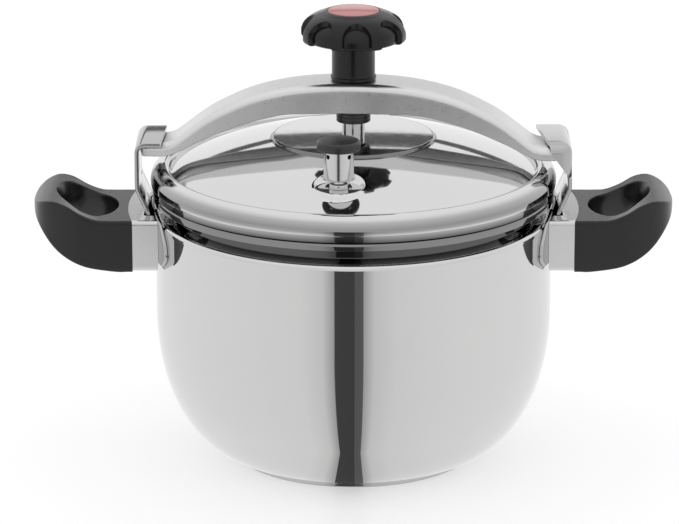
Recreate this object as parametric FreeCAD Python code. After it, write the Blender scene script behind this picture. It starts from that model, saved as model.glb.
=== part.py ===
import FreeCAD, Part
import math
import os

# Stovetop pressure cooker: a belly pot whose lid is clamped by a bridge bar and a central screw knob.
# Millimetres. Origin: centre of the base, on the surface that the pot stands on. +Z up, handles along X.

# Pot
POT_R = 140.0               # outer radius of the belly
WALL = 1.2                  # sheet thickness of the pot
FLAT_R = 82.5               # radius of the flat bottom, where the rounded flank starts
BASE_TOP = 4.0              # underside of the pot, on top of the sandwich base
BELLY_Z = 106.2             # height where the rounded flank becomes upright
SHOULDER_Z = 174.5          # top of the upright wall
SHOULDER_BEND = 4.5         # bend from the wall into the shoulder, which rises gently to the neck
SHOULDER_SLOPE = 10.0
NECK_R = 128.7              # outer radius of the neck
RIM_R = 141.7               # outer radius of the rolled rim
RIM_LOW = 189.5
RIM_TOP = 195.2
BASE_R = 86.5               # outer radius of the base cap
CAP_WALL = 0.8

# Lid
LID_R = 143.0               # outer radius of the lid's edge
LID_WALL = 1.5
LID_LOW = 195.5             # lower edge of the lid's lip
BEAD_TOP = 213.0            # crest of the bead that holds the gasket
DOME_R = 129.6              # radius and height of the dome's edge, in the crease inside the bead
DOME_EDGE = 208.4
PLATEAU_R = 57.0
PLATEAU_Z = 234.0
GASKET_GAP = 0.3            # what is left between the lid's parts and the pot, so that the lid can turn

# Operating valve, in front, and safety valve, behind
VALVE_X = -10.0
VALVE_Y = -94.0
SEAT_Z = 220.5              # flat seat stamped into the dome for each valve
SEAT_R = 16.0
STEM_R = 3.5
STEM_HOLE_R = 4.1
CAP_TOP = 255.0
SAFETY_R = 8.0
SAFETY_TOP = 236.0
SPRING_R = 3.6              # outer radius of the safety valve's spring
SPRING_LOW = 224.5
SPRING_TOP = 233.5

# Bridge bar
BRIDGE_WIDTH = 37.5
BRIDGE_WALL = 2.5
BRIDGE_REACH = 147.0        # half its length
CROWN_Z = 273.5             # top of the crown
TONGUE_Z = 229.0            # top of the flat tongue at each end
TONGUE_LOW = 220.0
BRIDGE_TURN = -2.5          # degrees about Z: the clamped bridge stands against the ears' stops

# Ears
EAR_WALL = 3.0
EAR_WIDTH = 52.0
EAR_OUT = 153.0             # outside of the upright wall
HOOK_TOP = 233.2
SADDLE_HALF = 55.0          # half width of the curved plate welded to the pot
SADDLE_LOW = 150.0
SADDLE_TOP = 186.0

# Side handles
HANDLE_HALF = 41.0          # half width
HANDLE_LOW = 143.7
HANDLE_TOP = 181.0
HANDLE_IN = 154.5           # where the handle starts, at its two sides
HANDLE_OUT = 225.0
HOLLOW_AT = (186.5, 0, 184.5)       # middle and half axes of the oval hollow for the thumb
HOLLOW_SIZE = (21.5, 31.0, 21.0)
END_BOW = 4.5               # how far the joint between ferrule and handle bows outwards
FERRULE_LOW = 144.5
FERRULE_WALL = 1.5
TANG_LOW = 154.0            # steel tang that carries the handle
TANG_TOP = 159.0
TANG_HALF = 15.0
TANG_END = 184.0
SCREW_X = 171.0

# Knob and spindle
KNOB_R = 37.5
KNOB_LOW = 301.0
KNOB_TOP = 323.0
NECK_KNOB_R = 15.2
SCALLOP = 10.0              # half width of each finger scallop
SCALLOP_TOP = 319.0
SCALLOP_DEPTH = 3.5
KNOB_TURN = 4.0             # degrees, so that a scallop stands a little right of the front
SPINDLE_R = 6.0
RUNNING = 0.08              # radial clearance of a running fit
INSERT_R = 18.0
BUSH_R = 12.0

UP = FreeCAD.Vector(0, 0, 1)
TALL = 400.0                # longer than anything that is cut


def vec(x, y, z):
    return FreeCAD.Vector(x, y, z)


def outline(start, *steps):
    """Closed XZ face. A step is ("line", end), ("arc", through, end) or ("curve", p1, ..., end)."""
    here = vec(start[0], 0, start[1])
    first = here
    edges = []
    for kind, *ends in steps:
        points = [vec(x, 0, z) for x, z in ends]
        if kind == "line":
            edges.append(Part.makeLine(here, points[-1]))
        elif kind == "arc":
            edges.append(Part.Arc(here, points[0], points[-1]).toShape())
        else:
            spline = Part.BSplineCurve()
            spline.interpolate([here] + points)
            edges.append(spline.toShape())
        here = points[-1]
    if here.distanceToPoint(first) > 1e-6:
        edges.append(Part.makeLine(here, first))
    return Part.Face(Part.Wire(edges))


def turned(face):
    """The face spun about the Z axis."""
    return face.revolve(vec(0, 0, 0), UP, 360)


def spun(*points):
    """A turned solid with a polygon for its outline."""
    return turned(outline(points[0], *[("line", p) for p in points[1:]]))


def across(face, low, high):
    """The XZ face carried along Y from low to high."""
    face.translate(vec(0, low, 0))
    return face.extrude(vec(0, high - low, 0))


def rod(radius, low, high, x=0.0, y=0.0):
    return Part.makeCylinder(radius, high - low, vec(x, y, low), UP)


def drum(radius, low, high):
    """A cylinder about the Z axis whose seam is away from +X, where the right-hand parts are."""
    return other_side(rod(radius, low, high))


def block(x0, x1, y0, y1, z0, z1):
    return Part.makeBox(x1 - x0, y1 - y0, z1 - z0, vec(x0, y0, z0))


def hexagon(flats, low, high):
    corner = flats / math.sqrt(3)
    points = [vec(corner * math.cos(math.radians(60 * i)), corner * math.sin(math.radians(60 * i)), low)
              for i in range(7)]
    return Part.Face(Part.makePolygon(points)).extrude(vec(0, 0, high - low))


def moved(shape, x=0.0, y=0.0, z=0.0):
    copy = shape.copy()
    copy.translate(vec(x, y, z))
    return copy


def other_side(shape):
    """The same part half a turn round the pot."""
    copy = shape.copy()
    copy.rotate(vec(0, 0, 0), UP, 180)
    return copy


def save(shape, node):
    shape.removeSplitter().exportStep("parts/" + node + ".step")


# ---------------------------------------------------------------- pot

def flank(inset, count=8):
    """Points of the rounded flank, a quarter of an ellipse, set inwards by inset."""
    wide = POT_R - FLAT_R
    tall = BELLY_Z - BASE_TOP
    points = []
    for i in range(count + 1):
        angle = math.pi / 2 * i / count
        out_r = tall * math.sin(angle)
        out_z = -wide * math.cos(angle)
        size = math.hypot(out_r, out_z)
        points.append((FLAT_R + wide * math.sin(angle) - inset * out_r / size,
                       BELLY_Z - tall * math.cos(angle) - inset * out_z / size))
    return points


def pot_body(inset):
    """Everything inside the pot's outer skin set inwards by inset, up to the neck's top."""
    side = POT_R - inset
    neck = NECK_R - inset
    bend = SHOULDER_BEND - inset
    middle = POT_R - SHOULDER_BEND
    slope = math.radians(SHOULDER_SLOPE)
    half = math.pi / 4 - slope / 2
    end = (middle + bend * math.sin(slope), SHOULDER_Z + bend * math.cos(slope))
    return turned(outline((0, BASE_TOP + inset),
                          ("line", (FLAT_R, BASE_TOP + inset)),
                          ("curve", *flank(inset)[1:]),
                          ("line", (side, SHOULDER_Z)),
                          ("arc", (middle + bend * math.cos(half), SHOULDER_Z + bend * math.sin(half)), end),
                          ("line", (neck, end[1] + (end[0] - neck) * math.tan(slope))),
                          ("line", (neck, RIM_LOW)),
                          ("line", (0, RIM_LOW))))


def pot_shell():
    neck_in = NECK_R - WALL
    rim = turned(outline((neck_in, RIM_LOW - 2.0),
                         ("line", (NECK_R, RIM_LOW - 2.0)),
                         ("arc", (NECK_R + 1.2, RIM_LOW + 1.0), (NECK_R + 4.0, RIM_LOW + 2.2)),
                         ("line", (RIM_R - 4.0, RIM_LOW + 2.2)),
                         ("arc", (RIM_R - 2.2, RIM_LOW + 1.6), (RIM_R - 1.5, RIM_LOW)),
                         ("line", (RIM_R, RIM_LOW)),
                         ("line", (RIM_R, RIM_TOP - 2.5)),
                         ("arc", (RIM_R - 0.75, RIM_TOP - 0.75), (RIM_R - 2.5, RIM_TOP)),
                         ("line", (neck_in + 3.0, RIM_TOP)),
                         ("arc", (neck_in + 0.9, RIM_TOP - 0.9), (neck_in, RIM_TOP - 3.0))))
    return pot_body(0).cut(pot_body(WALL)).cut(rod(neck_in, RIM_LOW - 10, RIM_LOW + 5)).fuse(rim)


def base_core():
    return rod(BASE_R - CAP_WALL, CAP_WALL, BASE_TOP).cut(pot_body(0))


def base_cap():
    cup = spun((0, 0), (BASE_R - 1.0, 0), (BASE_R, 1.0), (BASE_R, BASE_TOP), (0, BASE_TOP))
    return cup.cut(rod(BASE_R - CAP_WALL, CAP_WALL, BASE_TOP + 1)).cut(pot_body(0))


# ---------------------------------------------------------------- ears: hook, strap and welded saddle

def rounded_face(corners):
    """XZ face whose corners, each (point, radius), are rounded by arcs that touch both sides."""
    edges = []
    gates = []
    for i, (here, radius) in enumerate(corners):
        back = (corners[i - 1][0] - here).normalize()
        ahead = (corners[(i + 1) % len(corners)][0] - here).normalize()
        half = back.getAngle(ahead) / 2
        foot = radius / math.tan(half)
        gates.append((here + back * foot, here + ahead * foot))
        if radius:
            crown = here + (back + ahead).normalize() * (radius / math.sin(half) - radius)
            edges.append(Part.Arc(gates[-1][0], crown, gates[-1][1]).toShape())
    for i, (entry, _) in enumerate(gates):
        edges.append(Part.makeLine(gates[i - 1][1], entry))
    return Part.Face(Part.Wire(Part.__sortEdges__(edges)))


def sheet_face(middle, radii, thick):
    """XZ face of a sheet bent along its middle line, whose inner corners have the given bend radii."""
    points = [vec(x, 0, z) for x, z in middle]
    runs = [(end - start).normalize() for start, end in zip(points, points[1:])]
    sides = []
    for side in (thick / 2, -thick / 2):
        corners = []
        bends = zip(points, [runs[0]] + runs, runs + [runs[-1]], [0, *radii, 0])
        for point, run_in, run_out, radius in bends:
            offset = (run_in + run_out).normalize().cross(vec(0, 1, 0))
            reach = side / offset.dot(run_in.cross(vec(0, 1, 0)))
            turn = math.copysign(1, run_in.cross(run_out).y)
            corners.append((point + offset * reach, radius + turn * side if radius else 0))
        sides.append(corners)
    return rounded_face(sides[0] + sides[1][::-1])


def saddle():
    """Curved plate welded to the pot's upright wall, narrower at its top, with its corners cut away."""
    plate = drum(POT_R + 2.5, SADDLE_LOW, SADDLE_TOP)
    plate = plate.cut(drum(POT_R + 0.02, SADDLE_LOW - 1, SADDLE_TOP + 1))
    front = [(EAR_WIDTH / 2, SADDLE_TOP), (HANDLE_HALF, 181.5), (49.0, 174.0), (53.5, 165.0),
             (SADDLE_HALF, 157.0), (53.2, 151.8), (48.0, SADDLE_LOW)]
    back = [(-y, z) for y, z in reversed(front)]
    points = [vec(0, y, z) for y, z in front + back + front[:1]]
    return plate.common(Part.Face(Part.makePolygon(points)).extrude(vec(TALL, 0, 0)))


def ear(lip_open, lip_shut):
    """Right-hand ear. The bridge swings in from +Y; the cheek at -Y stops it."""
    half = EAR_WIDTH / 2
    mid = EAR_WALL / 2
    line = [(125.0, HOOK_TOP - mid), (EAR_OUT - mid, HOOK_TOP - mid), (EAR_OUT - mid, 200.0),
            (POT_R + mid, 177.0), (POT_R + mid, 160.0)]
    strap = across(sheet_face(line, [6.0, 8.0, 8.0], EAR_WALL), -half - 0.5, half)
    strap = strap.cut(drum(POT_R + 0.02, 140, 180))
    cheek = outline((lip_shut, HOOK_TOP - mid), ("line", (EAR_OUT - 3, HOOK_TOP - mid)),
                    ("line", (EAR_OUT - mid, HOOK_TOP - 5)), ("line", (EAR_OUT - mid, 209.0)),
                    ("line", (EAR_OUT - 4, 212.0)), ("line", (lip_shut + 3, 226.5)))
    cheek = across(cheek, -half - EAR_WALL, -half)
    lip = Part.Face(Part.makePolygon([vec(100, -60, 220), vec(lip_shut - 0.5, -60, 220),
                                      vec(lip_shut, -half, 220), vec(lip_open, half, 220),
                                      vec(lip_open, 60, 220), vec(100, 60, 220), vec(100, -60, 220)]))
    strap = strap.cut(lip.extrude(vec(0, 0, 20)))
    return strap.fuse(cheek).fuse(saddle())


# ---------------------------------------------------------------- handles

def bow(shift, side_x, far_x=None):
    """Plan face, in XY, from a bowed end at side_x outwards (or inwards, when far_x is smaller)."""
    half = HANDLE_HALF - shift
    arc = Part.Arc(vec(side_x, -half, 0), vec(side_x + END_BOW, 0, 0), vec(side_x, half, 0)).toShape()
    lines = Part.makePolygon([vec(side_x, half, 0), vec(far_x, half, 0), vec(far_x, -half, 0),
                              vec(side_x, -half, 0)])
    return Part.Face(Part.Wire([arc] + lines.Edges))


def ferrule():
    """Right-hand chromed collar between the ear and the handle: a thin box, open towards the pot."""
    skin = bow(0, HANDLE_IN, 120.0).extrude(vec(0, 0, HANDLE_TOP - FERRULE_LOW))
    hollow = bow(FERRULE_WALL, HANDLE_IN - FERRULE_WALL, 110.0).extrude(
        vec(0, 0, HANDLE_TOP - FERRULE_LOW - 2 * FERRULE_WALL))
    collar = moved(skin, z=FERRULE_LOW).cut(moved(hollow, z=FERRULE_LOW + FERRULE_WALL))
    collar = collar.cut(drum(POT_R + 2.6, 120, 200))
    collar = collar.cut(block(100, 147.0, -EAR_WIDTH / 2 - 1.0, EAR_WIDTH / 2 + 1.0, 170, 190))
    return collar.cut(block(140, 170, -TANG_HALF - 0.3, TANG_HALF + 0.3, TANG_LOW - 0.3, TANG_TOP + 0.3))


def tang():
    """Right-hand steel tang, welded to the saddle, with a threaded hole for the handle's screw."""
    foot = block(POT_R + EAR_WALL + 0.02, POT_R + 6.0, -20, 20, 147, 170)
    bar = block(POT_R + 5.0, TANG_END, -TANG_HALF, TANG_HALF, TANG_LOW, TANG_TOP)
    return foot.fuse(bar).cut(rod(2.5, 150, 165, x=SCREW_X))


def handle():
    """Right-hand black handle with an oval thumb hollow, a slot for the tang and a hole for its screw."""
    side = outline((150, HANDLE_LOW),
                   ("line", (HANDLE_IN + 10, HANDLE_LOW)),
                   ("curve", (183, 146.0), (193.4, 149.4), (203, 155.0), (211, 162.0), (219, 171.5),
                    (HANDLE_OUT, 182.0)),
                   ("curve", (222.5, 187.2), (217, 191.6), (209, 193.8), (200, 191.3), (190, 185.4),
                    (180, 181.6), (172, HANDLE_TOP)),
                   ("line", (150, HANDLE_TOP)))
    body = across(side, -HANDLE_HALF, HANDLE_HALF)
    plan = Part.BSplineCurve()
    points = []
    for i in range(-6, 7):
        across_y = math.sin(math.pi / 2 * i / 6)
        reach = (1 - abs(across_y) ** 2.6) ** (1 / 2.6)
        points.append(vec(190 + (HANDLE_OUT - 190) * reach, HANDLE_HALF * across_y, 0))
    plan.interpolate(points)
    tip = Part.Wire([plan.toShape()] + Part.makePolygon([points[-1], vec(140, HANDLE_HALF, 0),
                                                         vec(140, -HANDLE_HALF, 0), points[0]]).Edges)
    body = body.common(Part.Face(tip).extrude(vec(0, 0, TALL)))
    body = body.cut(bow(-5, HANDLE_IN + 0.1, 100.0).extrude(vec(0, 0, TALL)))
    squash = FreeCAD.Matrix()
    squash.scale(vec(*HOLLOW_SIZE))
    hollow = Part.makeSphere(1.0).transformGeometry(squash)
    body = body.cut(moved(hollow, *HOLLOW_AT))
    slot = block(150, TANG_END + 0.5, -TANG_HALF - 0.3, TANG_HALF + 0.3, TANG_LOW - 0.2, TANG_TOP + 0.2)
    screw_way = rod(2.8, 140, 156, x=SCREW_X).fuse(rod(5.2, 140, 148, x=SCREW_X))
    return body.cut(slot).cut(screw_way)


def handle_screw():
    head = rod(4.8, 145.0, 148.0, x=SCREW_X)
    cross = block(-3.2, 3.2, -0.6, 0.6, 144, 146.2).fuse(block(-0.6, 0.6, -3.2, 3.2, 144, 146.2))
    return head.cut(moved(cross, x=SCREW_X)).fuse(rod(2.45, 148.0, 158.5, x=SCREW_X))


# ---------------------------------------------------------------- lid

def dome_steps(inset):
    """Outline steps of the dome's skin set inwards by inset, from its edge up to the plateau's centre."""
    step = PLATEAU_R - inset
    return [("curve", (113.0, 215.5 - inset), (95.0, 221.7 - inset), (76.0, 226.8 - inset),
             (step + 1.0, 230.6 - inset)),
            ("arc", (step + 0.2, 231.2 - inset), (step, 231.8 - inset)),
            ("line", (step, PLATEAU_Z - 1.5 - inset)),
            ("arc", (step - 0.44, PLATEAU_Z - 0.44 - inset), (step - 1.5, PLATEAU_Z - inset)),
            ("line", (0, PLATEAU_Z - inset))]


def under_dome(inset):
    """Everything below the dome's skin set inwards by inset."""
    edge = (DOME_R, DOME_EDGE - inset)
    return turned(outline((DOME_R, 200), ("line", edge), *dome_steps(inset), ("line", (0, 200))))


def dome_and_bead():
    """The pressed sheet: plateau, dome, and the quarter-round edge that holds the gasket."""
    low = DOME_EDGE - LID_WALL
    edge = turned(outline((DOME_R, low),
                          ("line", (DOME_R, DOME_EDGE)),
                          ("arc", (131.0, DOME_EDGE + 0.4), (131.4, 210.0)),
                          ("line", (131.4, 211.6)),
                          ("arc", (131.9, 212.7), (133.0, BEAD_TOP)),
                          ("arc", (139.7, 209.5), (LID_R, 202.5)),
                          ("line", (LID_R, 200.4)),
                          ("line", (LID_R - 0.8, 199.8)),
                          ("line", (LID_R - 0.8, LID_LOW)),
                          ("line", (LID_R - 0.8 - LID_WALL, LID_LOW)),
                          ("line", (LID_R - 0.8 - LID_WALL, 201.5)),
                          ("arc", (138.3, 208.2), (133.6, BEAD_TOP - LID_WALL)),
                          ("line", (132.9, BEAD_TOP - LID_WALL - 0.6)),
                          ("line", (132.9, low))))
    return under_dome(0).cut(under_dome(LID_WALL)).fuse(edge)


def seat(outer, inner):
    """Flat round platform for a valve: the room cut out of the dome, and the piece that fills it."""
    room = rod(SEAT_R - LID_WALL, 200, 260, VALVE_X, VALVE_Y)
    wall = rod(SEAT_R, 205, 260, VALVE_X, VALVE_Y).cut(room)
    low = wall.cut(inner).common(rod(SEAT_R + 1, 200, SEAT_Z, VALVE_X, VALVE_Y))
    high = wall.common(outer).common(rod(SEAT_R + 1, SEAT_Z - LID_WALL, 260, VALVE_X, VALVE_Y))
    platform = rod(SEAT_R, SEAT_Z - LID_WALL, SEAT_Z, VALVE_X, VALVE_Y).fuse([low, high])
    return room, platform.cut(rod(STEM_HOLE_R, 200, 240, VALVE_X, VALVE_Y))


def lid_shell():
    """The sheet, with one platform in front for the operating valve and one behind for the safety valve."""
    shell = dome_and_bead()
    room, platform = seat(under_dome(0), under_dome(LID_WALL))
    shell = shell.cut(room).fuse(platform)
    return other_side(other_side(shell).cut(room).fuse(platform))


def gasket():
    """Soft ring: its body fills the bead over the rim, and its lip hangs into the pot's mouth."""
    low = RIM_TOP + GASKET_GAP
    lip_out = NECK_R - WALL - 0.5
    return spun((lip_out - 3.5, 190.0), (lip_out, 190.0), (lip_out, low + 1.0), (130.5, low + 1.0),
                (130.5, low), (139.8, low), (139.8, 202.0), (137.0, 206.8), (133.4, 209.4),
                (133.4, 206.5), (126.5, 206.5),
                (lip_out - 3.5, 203.0))


def spindle_cup():
    """Welded cup on the plateau in which the spindle's foot turns; a ring in its groove keeps the foot in."""
    cup = rod(8.0, PLATEAU_Z, 242.0).cut(rod(SPINDLE_R + RUNNING, PLATEAU_Z + 1.2, 243.0))
    return cup.cut(rod(7.3, 237.4, 239.6))


def vent_stem():
    """Hollow stem of the operating valve, with a collar on the seat and a thread below."""
    stem = rod(6.6, SEAT_Z, SEAT_Z + 3.5).fuse(rod(STEM_R, SEAT_Z + 3.5, 240.0))
    stem = stem.fuse(rod(STEM_HOLE_R - 0.1, 210.5, SEAT_Z))
    return moved(stem.cut(rod(1.2, 205, 245)), x=VALVE_X, y=VALVE_Y)


def stem_nut():
    nut = hexagon(13.0, 212.0, 216.5).cut(rod(STEM_HOLE_R, 205, 220))
    return moved(nut, x=VALVE_X, y=VALVE_Y)


def stem_seal():
    ring = rod(7.5, 216.5, SEAT_Z - LID_WALL).cut(rod(STEM_HOLE_R, 205, 230))
    return moved(ring, x=VALVE_X, y=VALVE_Y)


# ---------------------------------------------------------------- operating valve

def valve_bush():
    """Guide bush that slides on the stem; the weight spins round it."""
    bush = rod(5.5, 228.0, 238.0).cut(rod(STEM_R + RUNNING, 220, 245))
    return moved(bush, x=VALVE_X, y=VALVE_Y)


def valve_barrel():
    """Steel weight with four steam holes near its top."""
    barrel = rod(10.3, 227.0, CAP_TOP - 7.0).cut(rod(5.5 + RUNNING, 227.7, 238.3)).cut(rod(6.5, 238.3, 246.0))
    barrel = barrel.cut(rod(4.0, 226.0, 228.0)).cut(rod(2.6, 245.0, 249.0))
    for turn in range(4):
        hole = Part.makeCylinder(1.1, 20, vec(0, 0, 244.3), vec(1, 0, 0))
        hole.rotate(vec(0, 0, 0), UP, 45 + 90 * turn)
        barrel = barrel.cut(hole)
    return moved(barrel, x=VALVE_X, y=VALVE_Y)


def valve_plug():
    """Pointed pin pressed into the barrel's top; its cone closes the stem's mouth."""
    plug = spun((0, 240.2), (1.0, 240.2), (2.5, 242.5), (2.5, 250.0), (0, 250.0))
    return moved(plug, x=VALVE_X, y=VALVE_Y)


def valve_cap():
    cap = spun((2.6, 248.0), (14.0, 248.0), (15.0, 249.0), (15.0, 253.2), (13.5, 254.6), (0, CAP_TOP),
               (0, 250.1), (2.6, 250.1))
    return moved(cap, x=VALVE_X, y=VALVE_Y)


# ---------------------------------------------------------------- safety valve

def safety_body():
    """Turned housing on the rear seat: threaded shank below, spring room above."""
    house = rod(SAFETY_R, SEAT_Z, SAFETY_TOP).fuse(rod(STEM_HOLE_R - 0.1, 210.5, SEAT_Z))
    house = house.cut(rod(5.0, SEAT_Z + 1.0, SAFETY_TOP - 2.0)).cut(rod(2.4, 205, SEAT_Z + 2))
    house = house.cut(rod(1.6, SAFETY_TOP - 3, SAFETY_TOP + 1))
    return moved(house, x=-VALVE_X, y=-VALVE_Y)


def safety_pin():
    """Pin with a collar under the spring; its tip shows above the housing when it lifts."""
    pin = rod(1.5, 213.0, 237.0).fuse(rod(4.5, SEAT_Z + 1.3, SPRING_LOW - 0.5))
    return moved(pin, x=-VALVE_X, y=-VALVE_Y)


def safety_spring():
    """The space the coil spring fills: a sleeve of its outer and inner diameter and its fitted length."""
    sleeve = rod(SPRING_R, SPRING_LOW, SPRING_TOP)
    sleeve = sleeve.cut(rod(SPRING_R - 0.8, SPRING_LOW - 1, SPRING_TOP + 1))
    return moved(sleeve, x=-VALVE_X, y=-VALVE_Y)


# ---------------------------------------------------------------- bridge

def arch(points, shift):
    """The right half of an arched line, with every point moved inwards along its own normal by shift."""
    out = []
    for i, (x, z) in enumerate(points):
        before = points[max(i - 1, 0)]
        after = points[min(i + 1, len(points) - 1)]
        run = after[0] - before[0]
        rise = after[1] - before[1] if i else 0.0
        size = math.hypot(run, rise)
        out.append((x + shift * rise / size, z - shift * run / size))
    return out


def bridge_bar():
    """Inverted channel pressed from one sheet, arched over the lid, with a flat tongue at each end."""
    top = [(0, CROWN_Z), (31, 272.0), (53, 268.6), (74, 262.6), (95, 252.8), (106, 246.0), (115, 239.2),
           (121, 234.6), (126, 231.1), (131, 229.4), (138, TONGUE_Z),
           (BRIDGE_REACH, TONGUE_Z)]
    low = [(BRIDGE_REACH - 2.5, TONGUE_LOW), (136, TONGUE_LOW), (128.5, 220.8), (120, 224.5), (106, 231.8),
           (79.4, 242.8), (52, 250.4), (26, 252.2), (0, 252.5)]
    half = BRIDGE_WIDTH / 2
    right = outline(low[-1], ("line", top[0]), ("curve", *top[1:-1]), ("line", top[-1]), ("line", low[0]),
                    ("line", low[1]), ("curve", *low[2:]))
    inner_top = arch(top[:-1], BRIDGE_WALL)
    void = outline((0, 200), ("line", inner_top[0]), ("curve", *inner_top[1:]),
                   ("line", (BRIDGE_REACH + 5, TONGUE_Z - BRIDGE_WALL)), ("line", (BRIDGE_REACH + 5, 200)))
    solid = across(right, -half, half).cut(across(void, -half + BRIDGE_WALL, half - BRIDGE_WALL))
    bar = solid.fuse(other_side(solid)).removeSplitter().cut(rod(9.1, 260, 280))
    bar.rotate(vec(0, 0, 0), UP, BRIDGE_TURN)
    return bar


def bridge_bush():
    """Blackened threaded bush pressed into the crown; its wide lower end covers the spindle's cup."""
    ceiling = CROWN_Z - BRIDGE_WALL - 0.5
    bush = rod(9.0, ceiling - 1, CROWN_Z - 0.3).fuse(rod(BUSH_R, 243.0, ceiling))
    bush = bush.cut(rod(SPINDLE_R + RUNNING, 240, 280))
    bush = bush.cut(rod(8.6, 240, 252.0))
    for low in (244.5, 247.0, 249.5):
        bush = bush.cut(rod(BUSH_R + 1, low, low + 1.0).cut(rod(BUSH_R - 0.6, low, low + 1.0)))
    return bush


# ---------------------------------------------------------------- knob

def knob_dome(inset):
    """The knob's head without scallops, its skin set inwards by inset."""
    side = KNOB_R - inset
    return turned(outline((0, KNOB_LOW - 1.0),
                          ("line", (NECK_KNOB_R, KNOB_LOW - 1.0)),
                          ("line", (side - 4.0, KNOB_LOW)),
                          ("arc", (side - 0.9, KNOB_LOW + 0.8), (side, KNOB_LOW + 4.0)),
                          ("line", (side, KNOB_LOW + 6.0)),
                          ("arc", (side - 4.7, 315.2 - inset / 2), (23.0 - inset, 320.9 - inset)),
                          ("arc", (20.8 - inset, 321.8 - inset), (INSERT_R + 0.3 - inset, 322.4 - inset)),
                          ("line", (0, 322.4 - inset))))


def knob_head():
    """Phenolic knob with eight arched finger scallops, and its neck."""
    head = knob_dome(0).cut(rod(INSERT_R + 0.3, 320.6, 330))
    arch_face = outline((-SCALLOP, 290), ("line", (-SCALLOP, SCALLOP_TOP - SCALLOP)),
                        ("arc", (0, SCALLOP_TOP), (SCALLOP, SCALLOP_TOP - SCALLOP)),
                        ("line", (SCALLOP, 290)))
    scallop = across(arch_face, 20.0, 60.0).cut(knob_dome(SCALLOP_DEPTH))
    for i in range(8):
        cutter = scallop.copy()
        cutter.rotate(vec(0, 0, 0), UP, KNOB_TURN + 45 * i)
        head = head.cut(cutter)
    neck = rod(NECK_KNOB_R, CROWN_Z + 0.5, KNOB_LOW)
    neck = neck.fuse(rod(NECK_KNOB_R + 0.8, CROWN_Z + 0.5, CROWN_Z + 2.5))
    solid = head.fuse(neck)
    return solid.cut(rod(SPINDLE_R + 0.05, CROWN_Z - 1, 312.2)).cut(hexagon(18.2, 303.9, 312.2))


def knob_insert():
    return spun((0, 320.7), (INSERT_R, 320.7), (INSERT_R, 322.3), (INSERT_R - 0.8, 322.8), (0, KNOB_TOP))


def knob_nut():
    """Brass hexagon moulded into the head, in which the spindle is fixed."""
    return hexagon(18.0, 304.0, 312.0).cut(rod(SPINDLE_R + 0.02, 300, 320))


def spindle():
    """Steel screw: foot in the cup, thread through the bush, top in the knob's brass nut."""
    foot = PLATEAU_Z + 1.4
    screw = rod(SPINDLE_R, foot, 312.0)
    return screw.cut(rod(SPINDLE_R + 1, 238.0, 239.0).cut(rod(4.6, 238.0, 239.0)))


def spindle_ring():
    """Spring ring in the spindle's groove, which lifts the lid with the knob."""
    ring = rod(7.0, 238.05, 238.95).cut(rod(4.65, 238, 239))
    return ring.cut(block(0, 10, -1.5, 1.5, 237, 240))


def main():
    os.makedirs("parts", exist_ok=True)
    pieces = {
        "pot_shell": pot_shell(), "base_core": base_core(), "base_cap": base_cap(),
        "lid_shell": lid_shell(), "lid_gasket": gasket(), "spindle_cup": spindle_cup(),
        "vent_stem": vent_stem(), "vent_stem_nut": stem_nut(), "vent_stem_seal": stem_seal(),
        "valve_bush": valve_bush(), "valve_barrel": valve_barrel(), "valve_plug": valve_plug(),
        "valve_cap": valve_cap(),
        "safety_body": safety_body(), "safety_nut": other_side(stem_nut()),
        "safety_seal": other_side(stem_seal()), "safety_pin": safety_pin(), "safety_spring": safety_spring(),
        "bridge_bar": bridge_bar(), "bridge_bush": bridge_bush(),
        "knob_head": knob_head(), "knob_insert": knob_insert(), "knob_nut": knob_nut(),
        "spindle": spindle(), "spindle_ring": spindle_ring(),
        "right_ear": ear(129.5, 136.5), "left_ear": other_side(ear(135.0, 132.0)),
    }
    for name, shape in (("ferrule", ferrule()), ("handle_tang", tang()), ("handle", handle()),
                        ("handle_screw", handle_screw())):
        pieces["right_" + name] = shape
        pieces["left_" + name] = other_side(shape)
    for name, shape in pieces.items():
        save(shape, name)
        print("%-20s valid %s solids %d" % (name, shape.isValid(), len(shape.Solids)))


main()
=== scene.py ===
import math

import bpy
import numpy as np
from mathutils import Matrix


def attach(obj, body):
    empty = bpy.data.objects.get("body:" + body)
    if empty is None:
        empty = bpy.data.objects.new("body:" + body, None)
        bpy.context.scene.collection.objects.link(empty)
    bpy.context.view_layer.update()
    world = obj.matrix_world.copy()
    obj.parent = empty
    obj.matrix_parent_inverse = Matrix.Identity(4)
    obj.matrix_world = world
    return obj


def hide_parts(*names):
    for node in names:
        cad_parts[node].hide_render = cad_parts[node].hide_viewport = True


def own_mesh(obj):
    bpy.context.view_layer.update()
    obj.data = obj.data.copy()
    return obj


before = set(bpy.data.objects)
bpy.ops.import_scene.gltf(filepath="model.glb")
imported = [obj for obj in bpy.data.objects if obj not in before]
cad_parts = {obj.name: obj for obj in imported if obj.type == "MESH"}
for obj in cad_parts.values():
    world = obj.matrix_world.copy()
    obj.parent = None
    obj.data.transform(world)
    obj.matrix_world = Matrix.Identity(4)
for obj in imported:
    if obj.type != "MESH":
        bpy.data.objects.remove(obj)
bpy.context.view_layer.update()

# Pot
# A deep-drawn stainless steel pot with a rounded flank, a tight shoulder, a narrower neck and a rolled rim.
# It is polished, with a very fine grain left round it by the buffing wheel.

MM = 0.001
POT_R = 140.0
POT_WALL = 1.2
FLAT_R = 82.5
POT_LOW = 4.0
BELLY_Z = 106.2
SHOULDER_Z = 174.5
SHOULDER_BEND = 4.5
SHOULDER_SLOPE = math.radians(10)
NECK_R = 128.7
RIM_R = 141.7
RIM_LOW = 189.5
RIM_TOP = 195.2
GROOVE_LOW = 179.0          # from here up to the rim the narrow neck is given painted shade
GROOVE_PAINTED_SHADE = 0.85
RIM_PAINTED_SHADE = 0.62
TURNED_COLUMNS = 288


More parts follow.
